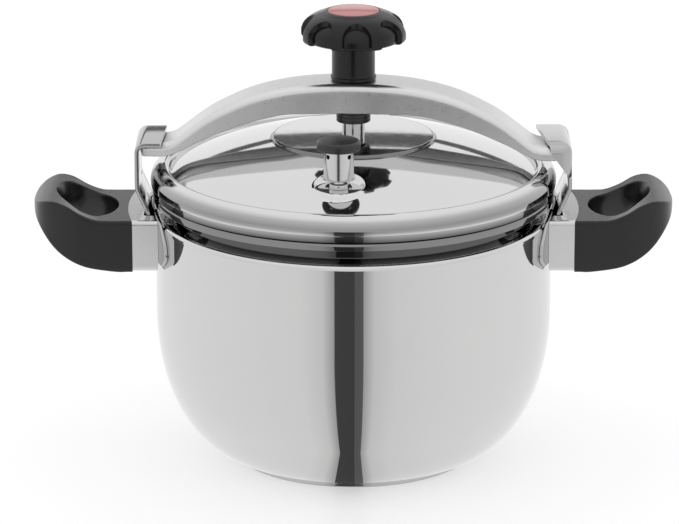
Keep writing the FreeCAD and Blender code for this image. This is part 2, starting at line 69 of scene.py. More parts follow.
def filleted(corners, steps=5):
    """The line through corners (a, b, radius), each corner rounded by an arc that touches both its sides:
    the arc's centre lies on the bisector, at radius / sin(half the corner's angle)."""
    corners = np.array(corners, float)
    line = [corners[:1, :2]]
    share = np.linspace(0, 1, steps)[:, None]
    for before, (a, b, radius), after in zip(corners[:-2, :2], corners[1:-1], corners[2:, :2]):
        here = np.array([a, b])
        back = (before - here) / np.linalg.norm(before - here)
        ahead = (after - here) / np.linalg.norm(after - here)
        half = math.acos(np.clip(back @ ahead, -1, 1)) / 2
        if radius == 0 or half > math.pi / 2 - 0.01:
            line.append(here[None])
            continue
        middle = here + (back + ahead) / np.linalg.norm(back + ahead) * radius / math.sin(half)
        start = here + back * radius / math.tan(half) - middle
        end = here + ahead * radius / math.tan(half) - middle
        turn = math.pi - 2 * half
        arc = (np.sin((1 - share) * turn) * start + np.sin(share * turn) * end) / math.sin(turn)
        line.append(middle + arc)
    line.append(corners[-1:, :2])
    return np.concatenate(line)


def sharp(points):
    """Points (a, b) as corners with no rounding."""
    points = np.array(points, float)
    return np.column_stack([points, np.zeros(len(points))])


def bezier(p0, p1, p2, p3, count):
    """The cubic curve (1-t)^3 p0 + 3(1-t)^2 t p1 + 3(1-t) t^2 p2 + t^3 p3."""
    t = np.linspace(0, 1, count)[:, None]
    p0, p1, p2, p3 = [np.array(p, float) for p in (p0, p1, p2, p3)]
    return (1 - t) ** 3 * p0 + 3 * (1 - t) ** 2 * t * p1 + 3 * (1 - t) * t ** 2 * p2 + t ** 3 * p3


def turned(profile, columns=TURNED_COLUMNS, centre=(0.0, 0.0), angles=None):
    """Grid of the (radius, height) profile carried round an upright axis: x = r cos a, y = r sin a."""
    if angles is None:
        angles = np.linspace(0, 2 * math.pi, columns, endpoint=False)
    r, z = np.array(profile, float).T[:, :, None]
    return np.stack([centre[0] + r * np.cos(angles), centre[1] + r * np.sin(angles), z + 0 * angles], -1)


def skin(name, grid, around=True, crease=32, shade=None):
    """A closed mesh whose faces are the grid's cells. Points that coincide become one, so a row that shrinks
    to a point is a pole. The volume under its faces, a sum of a . (b x c) / 6, tells which way they point.
    Shade, of the grid's size, is painted shade: how far the colour is darkened where it should look shaded."""
    rows, columns = grid.shape[:2]
    i, j = np.meshgrid(np.arange(rows - 1), np.arange(columns if around else columns - 1), indexing="ij")
    k = (j + 1) % columns
    quads = np.stack([i * columns + j, i * columns + k, (i + 1) * columns + k, (i + 1) * columns + j], -1)
    points = grid.reshape(-1, 3) * MM
    _, first, same = np.unique(np.round(points, 7), axis=0, return_index=True, return_inverse=True)
    points = points[first]
    quads = same.reshape(-1)[quads.reshape(-1, 4)]
    corner = points[quads]
    volume = np.einsum("ij,ij->i", corner[:, 0], np.cross(corner[:, 1], corner[:, 2])).sum()
    volume += np.einsum("ij,ij->i", corner[:, 0], np.cross(corner[:, 2], corner[:, 3])).sum()
    if volume < 0:
        quads = quads[:, ::-1]
    low = quads[:, 0] == quads[:, 1]
    high = quads[:, 2] == quads[:, 3]
    left = quads[:, 3] == quads[:, 0]
    right = quads[:, 1] == quads[:, 2]
    count = low.astype(int) + high + left + right
    faces = quads[count == 0].tolist()
    for found, keep in ((low, [1, 2, 3]), (high, [0, 1, 2]), (left, [0, 1, 2]), (right, [0, 1, 3])):
        faces += quads[found & (count == 1)][:, keep].tolist()
    mesh = bpy.data.meshes.new(name)
    mesh.from_pydata(points.tolist(), [], faces)
    mesh.validate()
    mesh.shade_smooth()
    mesh.set_sharp_from_angle(angle=math.radians(crease))
    if shade is not None:
        layer = mesh.attributes.new("shade", "FLOAT", "POINT")
        shade = np.broadcast_to(shade, (rows, columns)).ravel()[first]
        layer.data.foreach_set("value", shade.astype(np.float32))
    piece = bpy.data.objects.new(name, mesh)
    bpy.context.scene.collection.objects.link(piece)
    return piece


def finish(name, colour, second, roughness, metallic=0.0, grain=900.0, stretch=(1, 1, 1), bump=0.02,
           cloud=14.0, **sockets):
    """A worked surface: its colour drifts slowly between two tones, its roughness follows a fine grain
    stretched along the marks that the tool left, and the same grain is its relief. Where the mesh's shade
    attribute rises towards 1, the colour is mixed towards near black: this is painted shade."""
    material = bpy.data.materials.new(name)
    material.use_nodes = True
    nodes, links = material.node_tree.nodes, material.node_tree.links
    shader = nodes["Principled BSDF"]
    shader.inputs["Metallic"].default_value = metallic
    for socket, value in sockets.items():
        shader.inputs[socket.replace("_", " ")].default_value = value
    place = nodes.new("ShaderNodeTexCoord")
    mapping = nodes.new("ShaderNodeMapping")
    mapping.inputs["Scale"].default_value = stretch
    links.new(place.outputs["Object"], mapping.inputs["Vector"])
    fine = nodes.new("ShaderNodeTexNoise")
    fine.inputs["Scale"].default_value = grain
    fine.inputs["Detail"].default_value = 3.0
    links.new(mapping.outputs["Vector"], fine.inputs["Vector"])
    slow = nodes.new("ShaderNodeTexNoise")
    slow.inputs["Scale"].default_value = cloud
    slow.inputs["Detail"].default_value = 2.0
    links.new(place.outputs["Object"], slow.inputs["Vector"])
    tones = nodes.new("ShaderNodeMix")
    tones.data_type = "RGBA"
    tones.inputs[6].default_value = (*colour, 1)
    tones.inputs[7].default_value = (*second, 1)
    links.new(slow.outputs["Fac"], tones.inputs[0])
    shade = nodes.new("ShaderNodeAttribute")
    shade.attribute_name = "shade"
    # Painted shade: the mesh's shade attribute mixes the colour towards near black.
    painted_shade_mix = nodes.new("ShaderNodeMix")
    painted_shade_mix.data_type = "RGBA"
    painted_shade_mix.inputs[7].default_value = (0.012, 0.012, 0.012, 1)
    links.new(shade.outputs["Fac"], painted_shade_mix.inputs[0])
    links.new(tones.outputs[2], painted_shade_mix.inputs[6])
    links.new(painted_shade_mix.outputs[2], shader.inputs["Base Color"])
    spread = nodes.new("ShaderNodeMapRange")
    spread.inputs["From Min"].default_value = 0.3
    spread.inputs["From Max"].default_value = 0.7
    spread.inputs["To Min"].default_value = roughness[0]
    spread.inputs["To Max"].default_value = roughness[1]
    links.new(fine.outputs["Fac"], spread.inputs["Value"])
    links.new(spread.outputs["Result"], shader.inputs["Roughness"])
    relief = nodes.new("ShaderNodeBump")
    relief.inputs["Strength"].default_value = bump
    relief.inputs["Distance"].default_value = 0.0002
    links.new(fine.outputs["Fac"], relief.inputs["Height"])
    links.new(relief.outputs["Normal"], shader.inputs["Normal"])
    return material


def fit(piece, body, slot, material, *nodes):
    """Paints a piece, lets it ride on its body, and hides the plain parts that it stands for."""
    piece.data.materials.append(material)
    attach(piece, body)
    if nodes:
        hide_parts(*nodes)
    return piece


def paint(material, *names):
    """Gives plain parts that stay in sight a worked surface."""
    for name in names:
        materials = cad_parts[name].data.materials
        materials.clear()
        materials.append(material)


def flank(inset, count=44):
    """Points (r, z) of the flank, a quarter ellipse, moved inwards along its normal by inset."""
    a = np.linspace(0, math.pi / 2, count)
    wide, tall = POT_R - FLAT_R, BELLY_Z - POT_LOW
    r, z = FLAT_R + wide * np.sin(a), BELLY_Z - tall * np.cos(a)
    normal = np.stack([tall * np.sin(a), -wide * np.cos(a)], 1)
    normal /= np.linalg.norm(normal, axis=1)[:, None]
    return np.stack([r, z], 1) - inset * normal


def shoulder(inset):
    """Points of the shoulder: an arc that bends the wall inwards, then a gentle rise to the neck."""
    turn = np.linspace(0, math.pi / 2 - SHOULDER_SLOPE, 12)
    r = POT_R - SHOULDER_BEND + (SHOULDER_BEND - inset) * np.cos(turn)
    z = SHOULDER_Z + (SHOULDER_BEND - inset) * np.sin(turn)
    neck = NECK_R - inset
    return np.append(np.stack([r, z], 1), [(neck, z[-1] + (r[-1] - neck) * math.tan(SHOULDER_SLOPE))], 0)


neck_in = NECK_R - POT_WALL
wall_z = (BELLY_Z + 1, BELLY_Z + 4, 140, SHOULDER_Z - 3, SHOULDER_Z - 0.6)
wall = sharp([(POT_R, z) for z in wall_z])
pot_line = filleted(np.concatenate([
    sharp([(0, POT_LOW), (40, POT_LOW)]), sharp(flank(0)), wall, sharp(shoulder(0)[:-1]),
    [(*shoulder(0)[-1], 1.0), (NECK_R, RIM_LOW + 2.2, 4.0), (RIM_R - 1.6, RIM_LOW + 2.2, 2.0),
     (RIM_R - 1.6, RIM_LOW, 0.3), (RIM_R, RIM_LOW, 0.4), (RIM_R, RIM_TOP, 2.5), (neck_in, RIM_TOP, 3.0)],
    sharp(shoulder(POT_WALL)[::-1]), wall[::-1] - (POT_WALL, 0, 0), sharp(flank(POT_WALL)[::-1]),
    sharp([(40, POT_LOW + POT_WALL), (0, POT_LOW + POT_WALL)])]))
pot_steel = finish("pot_steel", (0.66, 0.66, 0.655), (0.64, 0.64, 0.64), (0.025, 0.05), 1.0,
                   grain=160.0, stretch=(1, 1, 14), bump=0.003)
r, z = pot_line.T
# Painted shade: the neck groove and the rolled rim are darkened in colour to look shaded.
in_groove = np.clip((z - GROOVE_LOW) / 1.2, 0, 1) * np.clip(RIM_LOW + 2.0 - z, 0, 1)
in_groove *= (r > NECK_R - 0.5) * (r < RIM_R - 3)
on_rim = (r > RIM_R - 3) & (z > RIM_LOW - 0.5)
pot_painted_shade = GROOVE_PAINTED_SHADE * in_groove + RIM_PAINTED_SHADE * on_rim
pot_body = skin("pot_body", turned(pot_line), shade=pot_painted_shade[:, None])
fit(pot_body, "pot", "pot_steel", pot_steel, "pot_shell")


# Base
# A thick aluminium disc brazed under the pot and covered by a stamped steel cap, ground flat underneath.

BASE_R = 86.5
CAP_WALL = 0.8

base_line = filleted([(0, 0, 0), (BASE_R, 0, 1.4), (BASE_R, POT_LOW + 0.2, 0.2),
                      (BASE_R - CAP_WALL, POT_LOW + 0.2, 0), (BASE_R - CAP_WALL, CAP_WALL, 0),
                      (0, CAP_WALL, 0)])
base_steel = finish("base_steel", (0.55, 0.55, 0.55), (0.50, 0.50, 0.50), (0.22, 0.34), 1.0,
                    grain=260.0, bump=0.03)
fit(skin("base_plate", turned(base_line)), "pot", "base_steel", base_steel, "base_cap")
core_aluminium = finish("core_aluminium", (0.60, 0.60, 0.61), (0.55, 0.55, 0.57), (0.35, 0.5), 1.0,
                        grain=300.0)
paint(core_aluminium, "base_core")


# Ears
# Polished steel hooks for the ends of the bridge. Each is one bent strap with a cheek on one side that stops
# the bridge, on a curved plate that is spot welded to the top of the pot's upright wall.

EAR_WALL = 3.0
EAR_HALF = 26.0
EAR_OUT = 153.0
HOOK_TOP = 233.2
SADDLE_HALF = 55.0
SADDLE_WALL = 2.5
SADDLE_LOW = 150.0
SADDLE_TOP = 186.0
LIP_REACH = 125.0
CHEEK_OUT = EAR_HALF + EAR_WALL
CHEEK_BEND = 7.0
CHEEK_LOW = 208.5
HOOK_BEND = 143.0           # beyond this the hook's lip may be cut at a slant


def rounded_box(half_a, half_b, radius, steps=5):
    """Closed outline of a rectangle with round corners, anticlockwise."""
    corner = np.array([(half_a, -half_b), (half_a, half_b), (-half_a, half_b), (-half_a, -half_b)], float)
    turn = np.linspace(-math.pi / 2, 0, steps)
    arcs = []
    for k, (a, b) in enumerate(corner):
        angle = turn + k * math.pi / 2
        middle = (a - math.copysign(radius, a), b - math.copysign(radius, b))
        arcs.append(np.stack([middle[0] + radius * np.cos(angle), middle[1] + radius * np.sin(angle)], 1))
    return np.concatenate(arcs)


def resampled(line, spacing):
    """The line with points added so that no step is longer than spacing."""
    step = np.linalg.norm(np.diff(line, axis=0), axis=1)
    here = np.concatenate([[0], np.cumsum(step)])
    extra = [np.linspace(a, b, max(int((b - a) / spacing), 1), endpoint=False)
             for a, b in zip(here[:-1], here[1:])]
    at = np.append(np.concatenate(extra), here[-1])
    return np.stack([np.interp(at, here, line[:, 0]), np.interp(at, here, line[:, 1])], 1)


def plate(outline, low, high, radius, rings=1):
    """Grid (a, b, t) of a flat plate: the outline shrinks to its middle on both faces, and its edges are
    quarter rounds of the given radius between the depths low and high."""
    after, before = np.roll(outline, -1, 0), np.roll(outline, 1, 0)
    inward = np.stack([before[:, 1] - after[:, 1], after[:, 0] - before[:, 0]], 1)
    inward /= np.linalg.norm(inward, axis=1)[:, None]
    turn = np.linspace(0, math.pi / 2, 5)
    middle = outline.mean(0)
    rows = []
    for share in np.linspace(0, 1, rings + 1)[:-1]:
        rows.append((middle + (outline + inward * radius - middle) * share, low))
    rows += [(outline + inward * radius * (1 - math.sin(a)), low + radius * (1 - math.cos(a))) for a in turn]
    rows += [(outline + inward * radius * (1 - math.cos(a)), high - radius * (1 - math.sin(a))) for a in turn]
    for share in np.linspace(1, 0, rings + 1)[1:]:
        rows.append((middle + (outline + inward * radius - middle) * share, high))
    return np.stack([np.column_stack([line, np.full(len(line), depth)]) for line, depth in rows])


def half_turn(grid):
    """The same grid on the other side of the pot."""
    return grid * np.array([-1, -1, 1])


def strap(lip_open, lip_shut):
    """The bent strap: a flat oblong section carried along its bent middle line. The section's own y is the
    strap's width, its t is along the line's normal, and the lip's end is cut at a slant."""
    mid = EAR_WALL / 2
    line = filleted([(LIP_REACH, HOOK_TOP - mid, 0), (EAR_OUT - mid, HOOK_TOP - mid, 6.0),
                     (EAR_OUT - mid, 200.0, 8.0), (POT_R + mid, 177.0, 8.0), (POT_R + mid, 160.0, 0)],
                    steps=12)
    line = resampled(line, 3.0)
    along = np.gradient(line, axis=0)
    along /= np.linalg.norm(along, axis=1)[:, None]
    normal = np.stack([-along[:, 1], along[:, 0]], 1)
    y, t = rounded_box(EAR_HALF, mid, 0.5).T
    grid = np.stack([line[:, :1] + normal[:, :1] * t, y + 0 * line[:, :1],
                     line[:, 1:] + normal[:, 1:] * t], -1)
    lip = lip_shut + (lip_open - lip_shut) * (grid[..., 1] + EAR_HALF) / (2 * EAR_HALF)
    pulled = HOOK_BEND - (HOOK_BEND - grid[..., 0]) * (HOOK_BEND - lip) / (HOOK_BEND - LIP_REACH)
    grid[..., 0] = np.where(grid[..., 0] < HOOK_BEND, pulled, grid[..., 0])
    grid[..., 0] = np.where(grid[..., 2] > 215, grid[..., 0], np.maximum(
        grid[..., 0], np.sqrt((POT_R + 0.8) ** 2 - grid[..., 1] ** 2)))
    corner = -CHEEK_OUT + CHEEK_BEND
    taper = np.clip((grid[..., 2] - CHEEK_LOW) / 3.5, 0, 1)
    y = grid[..., 1]
    grid[..., 1] = np.where(y < corner, corner + (y - corner) * (1 - taper), y)
    ends = [np.repeat(row.mean(0, keepdims=True), grid.shape[1], 0)[None] for row in (grid[0], grid[-1])]
    return np.concatenate([ends[0], grid, ends[1]])


def cheek(lip_shut):
    """The strap's edge rolled down into a cheek that closes one side of the hook. At depth d inside the
    hook's outline its outer skin is the bend y = -CHEEK_OUT + R - sqrt(R^2 - (R - d)^2), and its inner skin
    follows it one wall inside. Each ray runs from the outline to the cheek's slanting lower edge."""
    span = np.linspace(0, 1, 90)
    rims = []
    for corners in ([(lip_shut, HOOK_TOP, 0), (EAR_OUT, HOOK_TOP, CHEEK_BEND + 0.5), (EAR_OUT, CHEEK_LOW, 0)],
                    [(lip_shut, HOOK_TOP, 0), (lip_shut + 1.5, 226.6, 2.5), (EAR_OUT - 4.0, 211.5, 3.0),
                     (EAR_OUT, CHEEK_LOW, 0)]):
        line = resampled(filleted(corners, steps=16), 0.5)
        travel = np.concatenate([[0], np.cumsum(np.linalg.norm(np.diff(line, axis=0), axis=1))])
        travel /= travel[-1]
        rims.append(np.stack([np.interp(span, travel, line[:, 0]), np.interp(span, travel, line[:, 1])], 1))
    share = np.linspace(0, 1, 30)[:, None, None] ** 1.6
    rays = rims[0] + (rims[1] - rims[0]) * share
    reach = CHEEK_BEND + 0.5
    depth = reach - np.hypot(np.maximum(rays[..., 0] - EAR_OUT + reach, 0),
                             np.maximum(rays[..., 1] - HOOK_TOP + reach, 0))
    depth = np.clip(depth, 0, CHEEK_BEND)
    outer = -CHEEK_OUT + CHEEK_BEND - np.sqrt(CHEEK_BEND ** 2 - (CHEEK_BEND - depth) ** 2)
    radius = CHEEK_BEND - EAR_WALL
    inner = -EAR_HALF + radius - np.sqrt(radius ** 2 - (CHEEK_BEND - np.maximum(depth, EAR_WALL)) ** 2)
    skins = [np.stack([rays[..., 0], y, rays[..., 1]], -1) for y in (outer, inner)]
    return np.swapaxes(np.concatenate([skins[0], skins[1][::-1]]), 0, 1)


def saddle():
    """The welded plate, bent round the pot: x is found from y on a circle about the pot's axis."""
    half = filleted([(0, SADDLE_LOW, 0), (48.0, SADDLE_LOW, 4.0), (SADDLE_HALF, 156.5, 7.0),
                     (52.8, 167.0, 12.0), (43.0, 180.5, 8.0), (EAR_HALF + 1.5, SADDLE_TOP, 2.0),
                     (0, SADDLE_TOP, 0)])
    line = resampled(np.concatenate([half, (half * (-1, 1))[::-1][1:]]), 3.0)[:-1]
    y, z, t = np.moveaxis(plate(line, 0.05, SADDLE_WALL, 0.7, rings=14), -1, 0)
    return np.stack([np.sqrt((POT_R + t) ** 2 - y ** 2), y, z], -1)


ear_steel = finish("ear_steel", (0.48, 0.48, 0.48), (0.43, 0.43, 0.435), (0.06, 0.11), 1.0,
                   grain=420.0, stretch=(1, 5, 1), bump=0.012)
for side, place, lips in (("right", lambda grid: grid, (129.5, 136.5)), ("left", half_turn, (135.0, 132.0))):
    node = side + "_ear"
    fit(skin(side + "_hook", place(strap(*lips))), "pot", "ear_steel", ear_steel, node)
    fit(skin(side + "_hook_cheek", place(cheek(lips[1]))), "pot", "ear_steel", ear_steel, node)
    fit(skin(side + "_saddle", place(saddle())), "pot", "ear_steel", ear_steel, node)


# Ferrules
# Thin chromed collars between ear and handle. Each is a box bent from sheet, notched round the strap,
# which hides the steel tang that the handle is screwed to.

HANDLE_HALF = 41.0
HANDLE_IN = 154.5
END_BOW = 4.5
FERRULE_LOW = 144.5
HANDLE_TOP = 181.0
FERRULE_WALL = 1.5
NOTCH_HALF = 27.5
NOTCH_X = 147.0


def end_x(y):
    """Where the bowed joint between collar and handle lies, across the handle."""
    return HANDLE_IN + END_BOW * (1 - (y / HANDLE_HALF) ** 2)


def ferrule():
    """A box section in (y, z) carried outwards in x, from the pot's round wall to the bowed joint, with its
    inner skin one wall inside. The top is cut back round the strap."""
    middle = (FERRULE_LOW + HANDLE_TOP) / 2
    tall = (HANDLE_TOP - FERRULE_LOW) / 2
    rows = []
    outer = resampled(np.concatenate([rounded_box(HANDLE_HALF, tall, 2.5)] * 2)[:21], 1.0)[:-1]
    inner = outer * ((HANDLE_HALF - FERRULE_WALL) / HANDLE_HALF, (tall - FERRULE_WALL) / tall)

    def row(section, share, back=0.0):
        y, z = section.T
        wall_x = np.sqrt((POT_R + SADDLE_WALL + 0.1) ** 2 - y ** 2)
        notch = (np.abs(y) < NOTCH_HALF) & (z > 0.55 * tall)
        start = np.where(notch, NOTCH_X, wall_x)
        return np.stack([start + (end_x(y) - back - start) * share, y, z + middle], 1)

    for scale in (0.0, 0.5, 1.0):
        rows.append(row(inner * scale, 1.0, FERRULE_WALL))
    rows += [row(inner, share, FERRULE_WALL) for share in (0.5, 0.0)]
    rows += [row(outer, share) for share in np.linspace(0, 1, 6)]
    rows += [row(outer * scale, 1.0) for scale in (0.995, 0.5, 0.0)]
    return np.stack(rows)


ferrule_chrome = finish("ferrule_chrome", (0.66, 0.66, 0.67), (0.62, 0.62, 0.63), (0.12, 0.20), 1.0,
                        grain=500.0, stretch=(1, 1, 6), bump=0.012)
for side, place in (("right", lambda grid: grid), ("left", half_turn)):
    fit(skin(side + "_collar", place(ferrule())), "pot", "ferrule_chrome", ferrule_chrome, side + "_ferrule")


# Side handles
# Black phenolic mouldings with a deep hollow for the thumb on top. One screw from below holds each on its
# steel tang.

HANDLE_OUT = 225.0
HANDLE_CORNER = 1.5
HOLLOW = np.array([186.5, 0.0, 184.5])
HOLLOW_SIZE = np.array([21.0, 30.6, 21.0])
HOLLOW_EDGE = 0.35
SCREW_X = 171.0
SCREW_WAY_R = 5.2
SCREW_WAY_EDGE = 0.45
SCREW_WAY_TOP = 148.0
ROOT_MIDDLE = 162.3


def through(points, at):
    """Height at each distance of a smooth line through points. Between two points it is the cubic whose
    slopes at its ends are those of the chords beside them."""
    points = np.array(points, float)
    ends = np.concatenate([2 * points[:1] - points[1:2], points, 2 * points[-1:] - points[-2:-1]])
    t = np.linspace(0, 1, 40, endpoint=False)[None, :, None]
    p0, p1, p2, p3 = [ends[k:len(ends) - 3 + k][:, None] for k in range(4)]
    line = 0.5 * (2 * p1 + (p2 - p0) * t + (2 * p0 - 5 * p1 + 4 * p2 - p3) * t ** 2
                  + (3 * p1 - p0 - 3 * p2 + p3) * t ** 3)
    line = np.concatenate([line.reshape(-1, 2), points[-1:]])
    return np.interp(at, line[:, 0], line[:, 1])


def handle():
    """Box sections with round corners, carried outwards along x. Their half width is a super-ellipse of x,
    the top and bottom are smooth lines, and the hollow is an ellipsoid joined to the top by a soft minimum,
    -k log(exp(-a/k) + exp(-b/k))."""
    share = np.sin(np.linspace(0, math.pi / 2, 190))
    x = (HANDLE_IN + (HANDLE_OUT - HANDLE_IN) * share)[:, None]
    top = through([(150, 181), (161, 181), (172, 181), (180, 181.6), (190, 185.4), (200, 191.3), (209, 193.8),
                   (217, 192.2), (222.5, 189.2), (225, 186.8)], x)
    low = through([(150, 143.7), (158, 143.7), (166, 143.7), (183, 146), (193.4, 149.4), (203, 155),
                   (211, 162), (219, 172.0), (223.6, 179.0), (225, 184.6)], x)
    reach = np.clip((x - 190) / (HANDLE_OUT - 190), 0, 1)
    wide = HANDLE_HALF * (1 - reach ** 2.6) ** (1 / 2.6)
    tall = (top - low) / 2
    corner = np.minimum(HANDLE_CORNER + reach ** 2, 0.98 * np.minimum(tall, wide))
    flat = np.linspace(-1, 1, 141)[1:-1]
    side = np.linspace(-1, 1, 13)[1:-1]
    turn = np.linspace(0, math.pi / 2, 8)
    ones = np.ones_like
    round_in = np.cos(turn)
    round_out = np.sin(turn)
    a = np.concatenate([ones(side), ones(turn), -flat, -ones(turn), -ones(side), -ones(turn), flat,
                        ones(turn)])
    c = np.concatenate([side, ones(turn), ones(flat), ones(turn), -side, -ones(turn), -ones(flat),
                        -ones(turn)])
    b = np.concatenate([ones(side), round_in, 0 * flat, -round_out, -ones(side), -round_in, 0 * flat,
                        round_out])
    d = np.concatenate([0 * side, round_out, ones(flat), round_in, 0 * side, -round_out, -ones(flat),
                        -round_in])
    y = (wide - corner) * a + corner * b
    z = (top + low) / 2 + (tall - corner) * c + corner * d
    x = x + (end_x(y) + 0.1 - HANDLE_IN) * (1 - share[:, None])
    out = np.hypot((x - HOLLOW[0]) / HOLLOW_SIZE[0], (y - HOLLOW[1]) / HOLLOW_SIZE[1])
    near = np.minimum(out, 0.985)
    bowl = HOLLOW[2] - HOLLOW_SIZE[2] * np.sqrt(1 - near ** 2)
    bowl += (out - near) * HOLLOW_SIZE[2] * near / np.sqrt(1 - near ** 2)
    sunk = z - HOLLOW_EDGE * np.logaddexp(0, (z - bowl) / HOLLOW_EDGE)
    z = np.where((d > 0) & (a ** 2 < 1.01), sunk, z)
    away = np.hypot(x - SCREW_X, y)
    below = (d < -0.99) & (away < SCREW_WAY_R + SCREW_WAY_EDGE)
    ring = np.where(np.abs(away - SCREW_WAY_R) < SCREW_WAY_EDGE, SCREW_WAY_R / np.maximum(away, 0.1), 1.0)
    x = np.where(below, SCREW_X + (x - SCREW_X) * ring, x)
    y = np.where(below, y * ring, y)
    z = np.where(below & (away < SCREW_WAY_R), SCREW_WAY_TOP, z)
    grid = np.stack([x, y, z], -1)
    root = []
    for s in (0.0, 0.35, 0.7):
        height = ROOT_MIDDLE + (z[0] - ROOT_MIDDLE) * s
        root.append(np.stack([end_x(y[0] * s) + 0.1, y[0] * s, height], -1)[None])
    tip = np.repeat(grid[-1:].mean(1, keepdims=True), grid.shape[1], 1)
    return np.concatenate(root + [grid, tip])


black_phenolic = finish("black_phenolic", (0.006, 0.006, 0.0065), (0.009, 0.009, 0.0095), (0.20, 0.28),
                        grain=1400.0, bump=0.03, IOR=1.45)
for side, place in (("right", lambda grid: grid), ("left", half_turn)):
    fit(skin(side + "_grip", place(handle())), "pot", "black_phenolic", black_phenolic, side + "_handle")
screw_steel = finish("screw_steel", (0.45, 0.45, 0.46), (0.40, 0.40, 0.41), (0.25, 0.38), 1.0, grain=2000.0)
paint(screw_steel, "right_handle_screw", "left_handle_screw", "right_handle_tang", "left_handle_tang")


# Lid
# A pressed stainless steel lid, polished like a mirror: a slightly crowned plateau, a shallow dome, a crease
# and a quarter-round bead that holds the gasket. A round platform is stamped into the dome for each valve.

LID_R = 143.0
LID_WALL = 1.5
LID_LOW = 195.5
DOME_R = 129.6
DOME_EDGE = 208.4
PLATEAU_R = 57.0
PLATEAU_Z = 234.0
CROWN = 1.2                 # how much the plateau is domed
STEP_PAINTED_SHADE = 0.7
BEAD_R = 133.0              # beyond this the crease and the bead are given painted shade
VALVE_AT = np.array([-10.0, -94.0])
SEAT_Z = 220.5
SEAT_R = 16.0


def dome(count):
    """Points (r, z) of the dome from its edge to the step; its height is the quartic through five radii."""
    curve = np.polyfit([DOME_R, 113.0, 95.0, 76.0, 58.0], [DOME_EDGE, 215.5, 221.7, 226.8, 230.6], 4)
    r = np.linspace(DOME_R - 0.8, PLATEAU_R + 1.2, count)
    return np.stack([r, np.polyval(curve, r)], 1)


lid_line = filleted(np.concatenate([
    sharp([(0, PLATEAU_Z - LID_WALL), (30, PLATEAU_Z - LID_WALL)]),
    [(PLATEAU_R - LID_WALL, PLATEAU_Z - LID_WALL, 0.6)],
    sharp(dome(50)[::-1] - (0, LID_WALL)),
    [(132.9, DOME_EDGE - LID_WALL, 0), (132.9, 211.5, 0.5)],
    sharp(bezier((133.6, 211.5), (138.6, 211.3), (141.5, 206.5), (140.7, 201.5), 12)),
    [(140.7, LID_LOW, 0.3), (142.2, LID_LOW, 0.3), (142.2, 199.8, 0.3), (LID_R, 200.4, 0.4)],
    sharp(bezier((LID_R, 202.5), (LID_R, 207.6), (138.8, 212.9), (133.0, 213.0), 22)),
    [(131.4, 213.0, 1.2), (131.4, DOME_EDGE + 0.1, 1.3)],
    sharp(dome(84)),
    [(PLATEAU_R, 231.0, 0.6), (PLATEAU_R, PLATEAU_Z - CROWN, 1.4)],
    sharp([(r, PLATEAU_Z - CROWN * (r / PLATEAU_R) ** 2) for r in np.linspace(55, 0, 23)])]))
crowd = np.linspace(0, 2 * math.pi, 3601)
seat_angle = math.atan2(VALVE_AT[1], VALVE_AT[0])
close_by = np.minimum(np.abs(np.angle(np.exp(1j * (crowd - seat_angle)))),
                      np.abs(np.angle(np.exp(1j * (crowd - seat_angle - math.pi)))))
packed = np.concatenate([[0], np.cumsum(1 + 4.5 * (close_by[1:] < 0.24))])
lid_angles = np.interp(np.linspace(0, packed[-1], 379)[:-1], packed, crowd)
lid_grid = turned(lid_line, angles=lid_angles)
for valve_at in (VALVE_AT, -VALVE_AT):
    away = np.hypot(lid_grid[..., 0] - valve_at[0], lid_grid[..., 1] - valve_at[1])
    blend = np.clip((away - SEAT_R + 0.6) / 3.2, 0, 1)
    blend = blend * blend * (3 - 2 * blend)
    outer = np.arange(len(lid_line))[:, None] > len(lid_line) // 2
    flat = np.where(outer, SEAT_Z, SEAT_Z - LID_WALL)
    lid_grid[..., 2] = flat + (lid_grid[..., 2] - flat) * blend
lid_steel = finish("lid_steel", (0.70, 0.70, 0.70), (0.67, 0.67, 0.67), (0.035, 0.07), 1.0,
                   grain=220.0, stretch=(1, 1, 8), bump=0.004)
r, z = lid_line.T
# Painted shade: the bead, crease and lip, and a ring at the plateau's step, are darkened in colour in place
# of dark reflections.
painted_bead_shade = np.interp(z, [LID_LOW, 199.6, 200.0, 200.6, 202.6, 204.5, 209.0, 211.6],
                 [0.84, 0.5, 0.1, 0.0, 0.5, 0.55, 0.38, 0.0])
on_step = (np.abs(r - PLATEAU_R) < 1.6) & (z > 230.3)
lid_painted_shade = painted_bead_shade * (r > BEAD_R) + STEP_PAINTED_SHADE * on_step
lid_dome = skin("lid_dome", lid_grid, shade=lid_painted_shade[:, None])
fit(lid_dome, "lid", "lid_steel", lid_steel, "lid_shell")
gasket_rubber = finish("gasket_rubber", (0.045, 0.045, 0.047), (0.06, 0.06, 0.06), (0.55, 0.7),
                       grain=700.0, bump=0.1)
paint(gasket_rubber, "lid_gasket", "vent_stem_seal", "safety_seal")


# Operating valve
# A turned stem with a collar on the front platform, and a steel weight that spins on it under a black cap.
# Four small steam holes are drilled round the top of the weight.

valve_steel = finish("valve_steel", (0.64, 0.64, 0.645), (0.56, 0.56, 0.565), (0.07, 0.16), 1.0,
                     grain=900.0, stretch=(1, 1, 5), bump=0.02)
stem_line = filleted([(0, 210.5, 0), (4.0, 210.5, 0.5), (4.0, SEAT_Z, 0), (6.6, SEAT_Z, 0.4),
                      (6.6, 224.0, 0.8), (3.5, 224.0, 0.4), (3.5, 240.0, 0.5), (1.2, 240.0, 0.3),
                      (1.2, 234, 0), (0, 234, 0)])
fit(skin("valve_stem", turned(stem_line, 72, VALVE_AT)), "lid", "valve_steel", valve_steel, "vent_stem")

BARREL_R = 10.3
BARREL_LOW = 227.0
CAP_LOW = 248.0
CAP_R = 15.0
CAP_TOP = 255.0
STEAM_HOLE_R = 1.5
STEAM_HOLE_Z = 244.3

